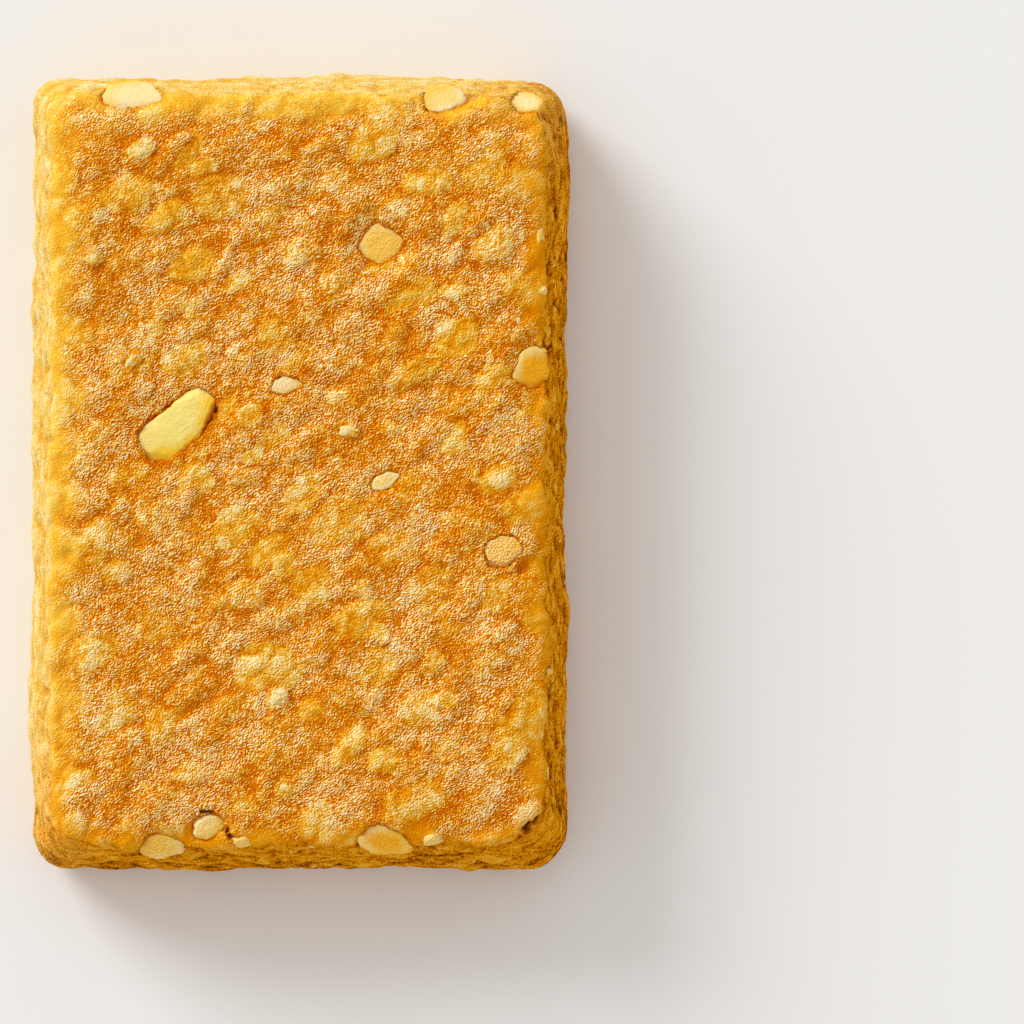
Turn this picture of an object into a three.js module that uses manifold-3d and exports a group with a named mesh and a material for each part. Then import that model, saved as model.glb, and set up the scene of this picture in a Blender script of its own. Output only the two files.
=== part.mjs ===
// A pressed lemon bar of chopped cashews in date paste, lying flat on its base.
// Millimetres, +Z up. The origin is the middle of the base, +Y runs along the bar and +X across it.
import * as THREE from "three";
import { mergeVertices } from "three/addons/utils/BufferGeometryUtils.js";
import Module from "manifold-3d";

// ---- Driving dimensions ----
const LENGTH = 69.0; // along Y, over the belly of the walls, which lumps pass by a little
const WIDTH = 46.6; // along X, over the belly of the walls
const HEIGHT = 12;

// The wall's section as curves one after another. Each point is [inset from the belly's outline, height].
const SHOULDER = [6, HEIGHT]; // where the top stops being flat
const RIM = [1.75, 11.38]; // the edge where the top breaks into the wall
const WALL_CURVES = [
  { pull: [4.18, 11.96], end: [2.35, 11.58] }, // the slope from the shoulder out to the rim
  { pull: RIM, end: [1.6, 10.5] }, // over the rim
  { pull: [0.25, 7.2], end: [0, 4.8] }, // the flare down to the belly
  { pull: [0.02, 2.6], end: [0.35, 1.1] }, // back in below the belly
  { pull: [0.55, 0], end: [1.2, 0] }, // round the foot to the base
];

// Radius of each corner of the outline, by the signs of x and y.
const CORNER_RADII = { "--": 2.9, "+-": 3.7, "-+": 2.5, "++": 3.2 };
const CORNER_SOFTENING = 0.55; // a ring's corner radius grows by this for each millimetre inward

// The mesh that carries the relief.
const TOP_COLUMNS = 27; // across the flat top
const TOP_ROWS = 45; // along it
const WALL_ROWS = 13; // from the shoulder down to the foot

// Relief: slow waves over the whole bar, with pressed lumps of chopped nut on top of them.
const WAVES = { count: 10, shortest: 9, longest: 24, swing: 0.075 };
const LUMP_SEED = 41;
const LUMP_PITCH = 3.2;
const LUMP_SCATTER = 0.8; // how far a lump may lie from its place in the grid, as a share of the pitch
const LUMP_LENGTH = [1.7, 3.4]; // half lengths, least and most
const LUMP_SLIMNESS = [0.45, 0.8]; // width over length
const LUMP_RISE = [0.15, 0.78];
const LUMP_GRAIN = 38; // degrees from +X: the way that the lumps of the top are drawn out
const LUMP_GRAIN_SPREAD = 50;
const LUMP_DEPTH = 2.2; // how far below the skin a lump still counts
const MEAN_RELIEF = 0.33; // the relief is lowered by this, so that the named sizes stay about the mean ones
const WALL_LUMP_RISE = 0.8; // the walls' lumps over the top's
const WALL_LUMP_LEVELS = [2.2, 4.9, 7.4, 9.8];
const LEVEL_SCATTER = 0.6; // the same up and down a wall, as a share of that
const QUIET_FOOT = 1.1; // height over which the relief fades out towards the flat base

// Hollows where a piece has come away: [x, y, z, length, width, depth, turn].
const HOLLOWS = [
  [19.6, -8.4, 12, 2.6, 1.7, 0.9, 70],
  [-8.6, -33.6, 11, 5.2, 2.2, 1.0, 0],
  [1.2, -33.8, 11, 4.2, 2.0, 0.8, 0],
  [22.2, 31.2, 11, 2.0, 1.6, 0.9, -45],
  [22.6, -20.6, 9, 4.6, 1.3, 0.8, 90],
  [22.3, -30.8, 10, 3.2, 2.2, 0.7, 90],
];

// Nut pieces that lie in sockets of their own. at is [x, y] on the top, size is [length, width, thickness],
// proud is how far the piece stands above the skin, and square is the exponent of its outline: 2 is an
// ellipse, 1.2 is nearly a rhombus and 3 is nearly a rectangle.
const SOCKET_GAP = 0.34;
const CHIP_BLUNTNESS = 2.6; // the exponent of a chip's section
const NUT_PIECES = [
  {
    name: "cashew_piece", at: [-10.4, 3.7], size: [8.2, 4.1, 3.2], turn: 41,
    proud: 0.45, square: 3.0, lobe: 0.03, bend: 0.024,
  },
  {
    name: "nut_diamond", at: [7.1, 19.6], size: [4.1, 3.8, 1.8], turn: 8,
    proud: 0.34, square: 1.5, lobe: 0.05,
  },
  {
    name: "nut_disc_right", at: [20.2, 8.8], size: [3.9, 3.1, 1.5], turn: 78,
    proud: 0.26, square: 2.4, lobe: 0.06, lean: 12,
  },
  {
    name: "nut_lump_right", at: [17.7, -7.2], size: [3.5, 2.7, 2.0], turn: 28,
    proud: 0.4, square: 2.3, lobe: 0.06,
  },
  {
    name: "nut_flake_front", at: [7.4, -32.2], size: [4.9, 2.8, 1.3], turn: -12,
    proud: 0.15, square: 1.9, lobe: 0.1, lean: -24,
  },
  {
    name: "nut_flake_front_left", at: [-11.8, -32.7], size: [4.0, 2.3, 1.2], turn: 2,
    proud: 0.12, square: 1.8, lobe: 0.08, lean: -16,
  },
  {
    name: "nut_flake_back_left", at: [-14.6, 32.5], size: [5.2, 2.9, 1.3], turn: 0,
    proud: 0.12, square: 2.2, lobe: 0.06, lean: 22,
  },
  {
    name: "nut_flake_back", at: [12.6, 32.2], size: [4.0, 2.5, 1.3], turn: 8,
    proud: 0.2, square: 2.3, lobe: 0.06, lean: 18,
  },
  {
    name: "nut_flake_back_right", at: [19.9, 31.8], size: [3.1, 2.0, 1.1], turn: -8,
    proud: 0.14, square: 2.2, lobe: 0.05, lean: 22,
  },
  {
    name: "nut_leaf", at: [7.5, -1.1], size: [2.9, 1.5, 1.1], turn: 24,
    proud: 0.2, square: 1.7, lobe: 0.05,
  },
  {
    name: "nut_scrap", at: [-1.1, 7.2], size: [2.8, 1.6, 1.2], turn: 8,
    proud: 0.2, square: 1.8, lobe: 0.1,
  },
  {
    name: "nut_shard_front", at: [-7.8, -31.0], size: [3.0, 2.1, 1.3], turn: 24,
    proud: 0.25, square: 2.0, lobe: 0.08, lean: -10,
  },
];

// Smaller bits that are bound into the paste, on the top: [x, y, length, width, turn].
const BOUND_BITS = [
  [-13.6, 27.8, 2.3, 2.0, 20],
  [-20.2, 24.9, 2.8, 2.2, 35],
  [-17.8, 18.5, 2.2, 1.2, 75],
  [-8.2, 26.2, 2.8, 1.5, 0],
  [-9.2, 14.0, 2.3, 1.7, 20],
  [13.4, 15.5, 2.9, 1.6, 10],
  [-20.2, 6.7, 2.5, 2.0, 80],
  [-14.3, 9.2, 1.6, 1.0, 62],
  [-4.1, 4.7, 2.7, 2.1, 30],
  [10.0, 8.4, 6.2, 2.3, 26],
  [4.3, 3.4, 1.8, 1.2, 15],
  [-19.2, -2.2, 2.5, 2.1, -40],
  [-18.9, -6.6, 2.6, 1.6, -18],
  [-1.2, -8.5, 2.4, 2.0, 70],
  [5.8, -10.5, 2.0, 1.7, 30],
  [7.2, -14.4, 1.9, 1.6, 15],
  [11.7, -17.0, 2.9, 2.2, 25],
  [12.9, -20.1, 2.4, 1.8, 15],
  [-1.9, -19.9, 2.2, 1.6, 36],
  [-1.2, -27.7, 2.0, 1.8, 60],
  [18.2, -24.6, 4.2, 3.0, 40],
  [19.9, -30.0, 3.2, 2.3, 30],
  [-19.3, -30.8, 2.4, 2.0, 60],
  [11.6, -32.2, 1.8, 1.3, 10],
];
const BIT = { thickness: 1.5, proud: 0.16, square: 2.2, lobe: 0.08 };

// How finely a chip's ball is divided before it is shaped.
const LARGEST_CHIP_DETAIL = 3;
const CHIP_DETAIL = 2;
const BIT_DETAIL = 1;

// ---- Materials ----
const pasteMaterial = new THREE.MeshStandardMaterial({ color: 0xd8963c, roughness: 0.5, metalness: 0 });
const nutMaterial = new THREE.MeshStandardMaterial({ color: 0xf2cd74, roughness: 0.45, metalness: 0 });

// ---- Small helpers ----
const radians = THREE.MathUtils.degToRad;
const mix = THREE.MathUtils.lerp;

// A repeatable run of numbers from 0 to 1.
function randomFrom(seed) {
  let state = seed;
  return () => {
    state = (Math.imul(state, 1664525) + 1013904223) >>> 0;
    return state / 2 ** 32;
  };
}

// ---- The smooth form ----

// The wall's section from the shoulder to the foot, at even steps: Vector2(inset, height).
function wallSection(steps) {
  const path = new THREE.Path();
  path.moveTo(...SHOULDER);
  for (const { pull, end } of WALL_CURVES) path.quadraticCurveTo(...pull, ...end);
  return path.getSpacedPoints(steps);
}

// The radius of the corner that (x, y) lies towards, on the ring that lies inset inside the belly.
function cornerRadius(x, y, inset) {
  return CORNER_RADII[(x < 0 ? "-" : "+") + (y < 0 ? "-" : "+")] + inset * CORNER_SOFTENING;
}

// A point of that ring, filled in: u and v run from -1 to 1 over its plan.
function planPoint(u, v, inset) {
  const halfWidth = WIDTH / 2 - inset;
  const halfLength = LENGTH / 2 - inset;
  const radius = cornerRadius(u, v, inset);
  let x = Math.abs(u) * halfWidth;
  let y = Math.abs(v) * halfLength;
  const overX = x - (halfWidth - radius);
  const overY = y - (halfLength - radius);
  if (overX > 0 && overY > 0) {
    const pull = Math.max(overX, overY) / Math.hypot(overX, overY);
    x = halfWidth - radius + overX * pull;
    y = halfLength - radius + overY * pull;
  }
  return [Math.sign(u) * x, Math.sign(v) * y];
}

// The smooth bar: a grid over the flat top, rings from the shoulder to the foot, and a fan for the base.
function smoothBar() {
  const positions = [];
  const triangles = [];
  const quad = (a, b, c, d) => triangles.push(a, b, c, a, c, d);
  const topIndex = (column, row) => row * (TOP_COLUMNS + 1) + column;
  for (let row = 0; row <= TOP_ROWS; row++) {
    for (let column = 0; column <= TOP_COLUMNS; column++) {
      const u = (2 * column) / TOP_COLUMNS - 1;
      const v = (2 * row) / TOP_ROWS - 1;
      positions.push(...planPoint(u, v, SHOULDER[0]), HEIGHT);
    }
  }
  for (let row = 0; row < TOP_ROWS; row++) {
    for (let column = 0; column < TOP_COLUMNS; column++) {
      const a = topIndex(column, row);
      quad(a, a + 1, a + TOP_COLUMNS + 2, a + TOP_COLUMNS + 1);
    }
  }

  // The grid's edge, counter-clockwise as seen from above.
  const rim = [];
  for (let column = 0; column < TOP_COLUMNS; column++) rim.push([column, 0]);
  for (let row = 0; row < TOP_ROWS; row++) rim.push([TOP_COLUMNS, row]);
  for (let column = TOP_COLUMNS; column > 0; column--) rim.push([column, TOP_ROWS]);
  for (let row = TOP_ROWS; row > 0; row--) rim.push([0, row]);

  let ring = rim.map(([column, row]) => topIndex(column, row));
  for (const point of wallSection(WALL_ROWS).slice(1)) {
    const first = positions.length / 3;
    for (const [column, row] of rim) {
      const u = (2 * column) / TOP_COLUMNS - 1;
      const v = (2 * row) / TOP_ROWS - 1;
      positions.push(...planPoint(u, v, point.x), point.y);
    }
    const next = rim.map((_, i) => first + i);
    ring.forEach((_, i) => {
      const j = (i + 1) % ring.length;
      quad(ring[i], next[i], next[j], ring[j]);
    });
    ring = next;
  }
  const middle = positions.length / 3;
  positions.push(0, 0, 0);
  ring.forEach((index, i) => triangles.push(middle, ring[(i + 1) % ring.length], index));

  const geometry = new THREE.BufferGeometry();
  geometry.setAttribute("position", new THREE.Float32BufferAttribute(positions, 3));
  geometry.setIndex(triangles);
  geometry.computeVertexNormals();
  return geometry;
}

// How far a plan point lies inside the belly's outline, with the corners as they run at the rim.
function insetAt(x, y) {
  const radius = cornerRadius(x, y, RIM[0]) + RIM[0];
  const overX = Math.abs(x) - (WIDTH / 2 - radius);
  const overY = Math.abs(y) - (LENGTH / 2 - radius);
  if (overX > 0 && overY > 0) return radius - Math.hypot(overX, overY);
  return radius - Math.max(overX, overY);
}

// How high the smooth top lies at a plan point, out to the belly.
const SECTION_STEPS = 200;
const sectionPoints = wallSection(SECTION_STEPS);
function topHeight(x, y) {
  const inset = Math.max(0, insetAt(x, y));
  return sectionPoints.find((point) => point.x <= inset).y;
}

// ---- Relief ----

// Plane waves in all directions, from a seed.
function makeWaves(random) {
  return Array.from({ length: WAVES.count }, () => {
    const turn = random() * 2 * Math.PI;
    const climb = (random() - 0.5) * Math.PI;
    const beat = (2 * Math.PI) / mix(WAVES.shortest, WAVES.longest, random());
    const along = new THREE.Vector3(
      Math.cos(turn) * Math.cos(climb),
      Math.sin(turn) * Math.cos(climb),
      Math.sin(climb),
    );
    return { along: along.multiplyScalar(beat), phase: random() * 2 * Math.PI };
  });
}

// One lump: an ellipsoid patch of the skin that rises. out is the way that the skin faces there.
function makeLump(random, centre, out, grain, spread, riseShare) {
  const halfLength = mix(...LUMP_LENGTH, random());
  const halfWidth = halfLength * mix(...LUMP_SLIMNESS, random());
  const rise = mix(...LUMP_RISE, random()) * riseShare;
  const turn = radians(grain + (random() - 0.5) * spread);
  const level = new THREE.Vector3(0, 0, 1).cross(out);
  const flat = level.lengthSq() < 0.5 ? new THREE.Vector3(1, 0, 0) : level.normalize();
  const up = new THREE.Vector3().crossVectors(out, flat);
  const long = flat.clone().multiplyScalar(Math.cos(turn)).addScaledVector(up, Math.sin(turn));
  const short = new THREE.Vector3().crossVectors(out, long);
  return { centre, out, long, short, halfLength, halfWidth, rise };
}

function makeLumps(random) {
  const lumps = [];
  const halfWidth = WIDTH / 2 - RIM[0];
  const halfLength = LENGTH / 2 - RIM[0];
  const nudge = () => (random() - 0.5) * LUMP_PITCH * LUMP_SCATTER;
  const up = new THREE.Vector3(0, 0, 1);
  for (let y = -halfLength; y <= halfLength; y += LUMP_PITCH) {
    for (let x = -halfWidth; x <= halfWidth; x += LUMP_PITCH) {
      const centre = new THREE.Vector3(x + nudge(), y + nudge(), HEIGHT);
      lumps.push(makeLump(random, centre, up, LUMP_GRAIN, LUMP_GRAIN_SPREAD, 1));
    }
  }
  for (const height of WALL_LUMP_LEVELS) {
    for (const side of [-1, 1]) {
      for (let y = -LENGTH / 2; y <= LENGTH / 2; y += LUMP_PITCH) {
        const centre = new THREE.Vector3((side * WIDTH) / 2, y + nudge(), height + nudge() * LEVEL_SCATTER);
        const out = new THREE.Vector3(side, 0, 0);
        lumps.push(makeLump(random, centre, out, 0, LUMP_GRAIN_SPREAD, WALL_LUMP_RISE));
      }
      for (let x = -WIDTH / 2; x <= WIDTH / 2; x += LUMP_PITCH) {
        const centre = new THREE.Vector3(x + nudge(), (side * LENGTH) / 2, height + nudge() * LEVEL_SCATTER);
        const out = new THREE.Vector3(0, side, 0);
        lumps.push(makeLump(random, centre, out, 0, LUMP_GRAIN_SPREAD, WALL_LUMP_RISE));
      }
    }
  }
  return lumps;
}

const random = randomFrom(LUMP_SEED);
const waves = makeWaves(random);
const lumps = makeLumps(random);

// How far the skin stands out at a point of the smooth form.
function reliefAt(point) {
  let relief = -MEAN_RELIEF;
  for (const wave of waves) relief += WAVES.swing * Math.sin(wave.along.dot(point) + wave.phase);
  let highest = 0;
  const from = new THREE.Vector3();
  for (const lump of lumps) {
    from.subVectors(point, lump.centre);
    const away =
      (from.dot(lump.long) / lump.halfLength) ** 2 +
      (from.dot(lump.short) / lump.halfWidth) ** 2 +
      (from.dot(lump.out) / LUMP_DEPTH) ** 2;
    if (away < 1) highest = Math.max(highest, lump.rise * (1 - away));
  }
  for (const [x, y, z, length, width, depth, turn] of HOLLOWS) {
    from.subVectors(point, new THREE.Vector3(x, y, z));
    from.applyAxisAngle(new THREE.Vector3(0, 0, 1), -radians(turn));
    const away = (2 * from.x / length) ** 2 + (2 * from.y / width) ** 2 + (from.z / LUMP_DEPTH) ** 2;
    if (away < 1) highest -= depth * (1 - away) ** 2;
  }
  const fade = THREE.MathUtils.smoothstep(point.z, 0, QUIET_FOOT);
  return (relief + highest) * fade;
}

function pushOut(geometry) {
  const position = geometry.getAttribute("position");
  const normal = geometry.getAttribute("normal");
  const point = new THREE.Vector3();
  const out = new THREE.Vector3();
  for (let i = 0; i < position.count; i++) {
    point.fromBufferAttribute(position, i);
    out.fromBufferAttribute(normal, i);
    point.addScaledVector(out, reliefAt(point.clone()));
    position.setXYZ(i, point.x, point.y, point.z);
  }
  return geometry;
}

// ---- Nut pieces ----

// Three lobes and five smaller ones round a chip's outline, which keep it from being even.
function outlineLobes(around) {
  return Math.cos(3 * around + 0.6) + 0.5 * Math.cos(5 * around + 2);
}

// A worn chip of nut: a rounded block with an uneven outline, and bent like a bean if bend is given.
// grow makes the same chip larger all round, for the socket that it lies in.
function nutGeometry({ size, square, lobe = 0, bend = 0 }, detail, grow = 0) {
  const geometry = new THREE.IcosahedronGeometry(1, detail);
  const position = geometry.getAttribute("position");
  for (let i = 0; i < position.count; i++) {
    const [x, y, z] = [position.getX(i), position.getY(i), position.getZ(i)];
    const plan = (Math.abs(x) ** square + Math.abs(y) ** square) ** (CHIP_BLUNTNESS / square);
    const reach = (plan + Math.abs(z) ** CHIP_BLUNTNESS) ** (-1 / CHIP_BLUNTNESS);
    const uneven = 1 + lobe * outlineLobes(Math.atan2(y, x));
    const px = x * reach * uneven * (size[0] / 2 + grow);
    const py = y * reach * uneven * (size[1] / 2 + grow);
    const pz = z * reach * (size[2] / 2 + grow);
    position.setXYZ(i, px, py + bend * (px * px - (size[0] / 4) ** 2), pz);
  }
  geometry.deleteAttribute("normal");
  geometry.deleteAttribute("uv");
  const closed = mergeVertices(geometry);
  closed.computeVertexNormals();
  return closed;
}

// Beds a mesh in the top at a plan point, leaning towards the nearer long or short wall.
function layOnTop(mesh, [x, y], turn, lean, proud, thickness) {
  const skin = new THREE.Vector3(x, y, topHeight(x, y));
  mesh.position.set(x, y, skin.z + reliefAt(skin) + proud - thickness / 2);
  const leansAcross = Math.abs(x) / WIDTH > Math.abs(y) / LENGTH;
  const tip = new THREE.Quaternion().setFromEuler(
    new THREE.Euler(leansAcross ? 0 : -radians(lean), leansAcross ? radians(lean) : 0, 0),
  );
  const spin = new THREE.Quaternion().setFromEuler(new THREE.Euler(0, 0, radians(turn)));
  mesh.quaternion.multiplyQuaternions(tip, spin);
  mesh.updateMatrixWorld(true);
  return mesh;
}

function nutMesh(piece, detail, grow = 0) {
  const mesh = new THREE.Mesh(nutGeometry(piece, detail, grow), nutMaterial);
  return layOnTop(mesh, piece.at, piece.turn, piece.lean ?? 0, piece.proud, piece.size[2]);
}

// ---- Joining and cutting ----

const wasm = await Module();
wasm.setup();

function solidFrom(mesh) {
  const plain = new THREE.BufferGeometry();
  plain.setAttribute("position", mesh.geometry.getAttribute("position").clone());
  plain.setIndex(mesh.geometry.index.clone());
  plain.applyMatrix4(mesh.matrixWorld);
  const merged = mergeVertices(plain, 1e-4);
  return new wasm.Manifold(
    new wasm.Mesh({
      numProp: 3,
      vertProperties: new Float32Array(merged.getAttribute("position").array),
      triVerts: new Uint32Array(merged.index.array),
    }),
  );
}

function geometryFrom(solid) {
  const made = solid.getMesh();
  const geometry = new THREE.BufferGeometry();
  geometry.setAttribute("position", new THREE.BufferAttribute(made.vertProperties, 3));
  geometry.setIndex(new THREE.BufferAttribute(made.triVerts, 1));
  geometry.computeVertexNormals();
  return geometry;
}

// The bar is the skin with its bound bits joined on and the sockets cut out, without any loose scraps.
function barGeometry() {
  let solid = solidFrom(new THREE.Mesh(pushOut(smoothBar())));
  for (const [x, y, length, width, turn] of BOUND_BITS) {
    const bit = new THREE.Mesh(nutGeometry({ ...BIT, size: [length, width, BIT.thickness] }, BIT_DETAIL));
    layOnTop(bit, [x, y], turn, 0, BIT.proud, BIT.thickness);
    solid = solid.add(solidFrom(bit));
  }
  for (const piece of NUT_PIECES) {
    solid = solid.subtract(solidFrom(nutMesh(piece, CHIP_DETAIL, SOCKET_GAP)));
  }
  const bodies = solid.decompose();
  bodies.sort((a, b) => b.volume() - a.volume());
  return geometryFrom(bodies[0]);
}

// ---- The part ----

const lemonBar = new THREE.Group();
const bar = new THREE.Mesh(barGeometry(), pasteMaterial);
bar.name = "bar";
lemonBar.add(bar);
for (const piece of NUT_PIECES) {
  const nut = nutMesh(piece, piece.name === "cashew_piece" ? LARGEST_CHIP_DETAIL : CHIP_DETAIL);
  nut.name = piece.name;
  lemonBar.add(nut);
}

export default lemonBar;
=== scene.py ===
"""Dresses a pressed lemon bar: chopped cashews bound in date paste, lying on a pale floor.

The form and its relief repeat the solids' own named values, in millimetres, and finer relief is laid on top.
"""

import math
from collections import namedtuple

import bmesh
import bpy
import numpy as np
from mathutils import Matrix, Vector, kdtree, noise


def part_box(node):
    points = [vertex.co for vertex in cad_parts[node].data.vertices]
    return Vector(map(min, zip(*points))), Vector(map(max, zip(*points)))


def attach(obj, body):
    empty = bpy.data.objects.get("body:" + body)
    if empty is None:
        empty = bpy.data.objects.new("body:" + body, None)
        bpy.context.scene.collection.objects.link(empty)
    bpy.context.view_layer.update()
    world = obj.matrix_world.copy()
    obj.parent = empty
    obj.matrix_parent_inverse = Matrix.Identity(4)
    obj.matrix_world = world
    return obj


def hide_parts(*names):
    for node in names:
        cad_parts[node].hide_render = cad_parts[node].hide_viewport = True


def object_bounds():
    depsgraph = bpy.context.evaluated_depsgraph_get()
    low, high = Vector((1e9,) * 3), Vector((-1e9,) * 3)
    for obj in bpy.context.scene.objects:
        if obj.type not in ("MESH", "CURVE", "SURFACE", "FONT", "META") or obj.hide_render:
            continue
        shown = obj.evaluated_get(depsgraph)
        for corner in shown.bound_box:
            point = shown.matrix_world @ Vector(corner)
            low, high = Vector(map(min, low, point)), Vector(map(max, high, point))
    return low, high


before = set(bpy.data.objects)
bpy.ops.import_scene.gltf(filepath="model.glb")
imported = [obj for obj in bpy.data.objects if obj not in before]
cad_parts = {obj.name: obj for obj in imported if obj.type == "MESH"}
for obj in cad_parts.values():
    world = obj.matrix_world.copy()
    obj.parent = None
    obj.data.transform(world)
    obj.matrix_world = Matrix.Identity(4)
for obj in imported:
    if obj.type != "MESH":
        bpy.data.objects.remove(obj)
cad_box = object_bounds()

MM = 0.001

# ---- The solids' driving dimensions, repeated ----
LENGTH = 69.0
WIDTH = 46.6
HEIGHT = 12.0
SHOULDER = (6.0, HEIGHT)
RIM = (1.75, 11.38)
WALL_CURVES = (
    ((4.18, 11.96), (2.35, 11.58)),
    (RIM, (1.6, 10.5)),
    ((0.25, 7.2), (0.0, 4.8)),
    ((0.02, 2.6), (0.35, 1.1)),
    ((0.55, 0.0), (1.2, 0.0)),
)
CORNER_RADII = {(-1, -1): 2.9, (1, -1): 3.7, (-1, 1): 2.5, (1, 1): 3.2}
CORNER_SOFTENING = 0.55

WAVES = {"count": 10, "shortest": 9, "longest": 24, "swing": 0.075}
LUMP_SEED = 41
LUMP_PITCH = 3.2
LUMP_SCATTER = 0.8
LUMP_LENGTH = (1.7, 3.4)
LUMP_SLIMNESS = (0.45, 0.8)
LUMP_RISE = (0.15, 0.78)
LUMP_GRAIN = 38
LUMP_GRAIN_SPREAD = 50
LUMP_DEPTH = 2.2
LUMP_TINT_STEP = 0.618
MEAN_RELIEF = 0.33
WALL_LUMP_RISE = 0.8
WALL_LUMP_LEVELS = (2.2, 4.9, 7.4, 9.8)
LEVEL_SCATTER = 0.6
QUIET_FOOT = 1.1
HOLLOWS = (
    (19.6, -8.4, 12, 2.6, 1.7, 0.9, 70),
    (-8.6, -33.6, 11, 5.2, 2.2, 1.0, 0),
    (1.2, -33.8, 11, 4.2, 2.0, 0.8, 0),
    (22.2, 31.2, 11, 2.0, 1.6, 0.9, -45),
    (22.6, -20.6, 9, 4.6, 1.3, 0.8, 90),
    (22.3, -30.8, 10, 3.2, 2.2, 0.7, 90),
)

# Nut pieces. square is the power of the outline's curve, where 2 is an ellipse, and lobe how uneven it is.
# lean tips a piece over the rim, by so many degrees, and bend curves it along its length.
Chip = namedtuple("Chip", "name x y length width thickness turn square lobe lean bend")
CHIP_BLUNTNESS = 2.6
NUT_PIECES = tuple(Chip(*values) for values in (
    ("cashew_piece", -10.4, 3.7, 8.2, 4.1, 3.2, 41, 3.0, 0.03, 0, 0.024),
    ("nut_diamond", 7.1, 19.6, 4.1, 3.8, 1.8, 8, 1.5, 0.05, 0, 0),
    ("nut_disc_right", 20.2, 8.8, 3.9, 3.1, 1.5, 78, 2.4, 0.06, 12, 0),
    ("nut_lump_right", 17.7, -7.2, 3.5, 2.7, 2.0, 28, 2.3, 0.06, 0, 0),
    ("nut_flake_front", 7.4, -32.2, 4.9, 2.8, 1.3, -12, 1.9, 0.1, -24, 0),
    ("nut_flake_front_left", -11.8, -32.7, 4.0, 2.3, 1.2, 2, 1.8, 0.08, -16, 0),
    ("nut_flake_back_left", -14.6, 32.5, 5.2, 2.9, 1.3, 0, 2.2, 0.06, 22, 0),
    ("nut_flake_back", 12.6, 32.2, 4.0, 2.5, 1.3, 8, 2.3, 0.06, 18, 0),
    ("nut_flake_back_right", 19.9, 31.8, 3.1, 2.0, 1.1, -8, 2.2, 0.05, 22, 0),
    ("nut_leaf", 7.5, -1.1, 2.9, 1.5, 1.1, 24, 1.7, 0.05, 0, 0),
    ("nut_scrap", -1.1, 7.2, 2.8, 1.6, 1.2, 8, 1.8, 0.1, 0, 0),
    ("nut_shard_front", -7.8, -31.0, 3.0, 2.1, 1.3, 24, 2.0, 0.08, -10, 0),
))

# Smaller bits that are bound into the paste, on the top: (x, y, length, width, turn).
BOUND_BITS = (
    (-13.6, 27.8, 2.3, 2.0, 20), (-20.2, 24.9, 2.8, 2.2, 35), (-17.8, 18.5, 2.2, 1.2, 75),
    (-8.2, 26.2, 2.8, 1.5, 0), (-9.2, 14.0, 2.3, 1.7, 20), (13.4, 15.5, 2.9, 1.6, 10),
    (-20.2, 6.7, 2.5, 2.0, 80), (-14.3, 9.2, 1.6, 1.0, 62), (-4.1, 4.7, 2.7, 2.1, 30),
    (10.0, 8.4, 6.2, 2.3, 26), (4.3, 3.4, 1.8, 1.2, 15), (-19.2, -2.2, 2.5, 2.1, -40),
    (-18.9, -6.6, 2.6, 1.6, -18), (-1.2, -8.5, 2.4, 2.0, 70), (5.8, -10.5, 2.0, 1.7, 30),
    (7.2, -14.4, 1.9, 1.6, 15), (11.7, -17.0, 2.9, 2.2, 25), (12.9, -20.1, 2.4, 1.8, 15),
    (-1.9, -19.9, 2.2, 1.6, 36), (-1.2, -27.7, 2.0, 1.8, 60), (18.2, -24.6, 4.2, 3.0, 40),
    (19.9, -30.0, 3.2, 2.3, 30), (-19.3, -30.8, 2.4, 2.0, 60), (11.6, -32.2, 1.8, 1.3, 10),
)

# ---- The fine mesh ----
TOP_COLUMNS = 146
TOP_ROWS = 240
WALL_ROWS = 64
BASE_SKIP = 2  # how many times coarser the base's grid is
BASE_STEP = 0.5  # from the foot to the base's own grid
TOP_ZONE = 10.5  # the top and its rim lie above this height
CELL = 1.5  # the side of the cubes that points are sorted into

# ---- Finer relief, which the solids leave out ----
# Two layers of granules, with their half lengths and the height that they rise.
GRANULES = (
    {"seed": 3, "count": 7500, "length": (0.4, 1.3), "slimness": (0.45, 0.85), "rise": (0.04, 0.16)},
    {"seed": 5, "count": 20000, "length": (0.24, 0.55), "slimness": (0.55, 0.95), "rise": (0.02, 0.1)},
)
GRANULE_MEAN = 0.07  # about the granules' mean, taken off the relief
GRANULE_WARP = 0.22  # how uneven their outlines are, as a share of their size
GRANULE_SPREAD = {"top": 28, "wall": 14}  # degrees that they turn from the grain
WALL_GRANULE = (1.3, 0.7)  # how much longer and slimmer they are there
LUMP_EDGE = (0.05, 0.3)  # the shares of a lump's rise at which its paleness starts and is full
TOP_CALM = 0.42  # the solids' relief on the top is pressed down to this share
WALL_CALM = 0.7  # and on the walls to this one
RIM_LIP = {
    "height": (9.9, 10.7, 11.3, 11.9), "reach": 0.26,
    "under": (8.8, 9.3, 9.9, 10.4), "cut": 0.15, "split": 0.45,
}
# Painted shade in the split under the rim's lip, on the sides painted in shade.
SPLIT_SHADE = 0.25
FISSURE_SHADE = (0.35, 0.1)  # painted shade in the fissures: on the walls painted in shade, and on those painted lit
FISSURES = (
    {"seed": 71, "size": (4.0, 4.0, 1.0), "width": 0.08, "depth": 0.22},
    {"seed": 75, "size": (2.0, 2.0, 0.6), "width": 0.1, "depth": 0.14},
)

BIT_PALENESS = (0.95, 0.75, 0.85, 1.0, 0.8)  # of the bound bits, in turn

CRISP_PROUD = 0.12  # how far the crisper bits stand out of the paste
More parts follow.
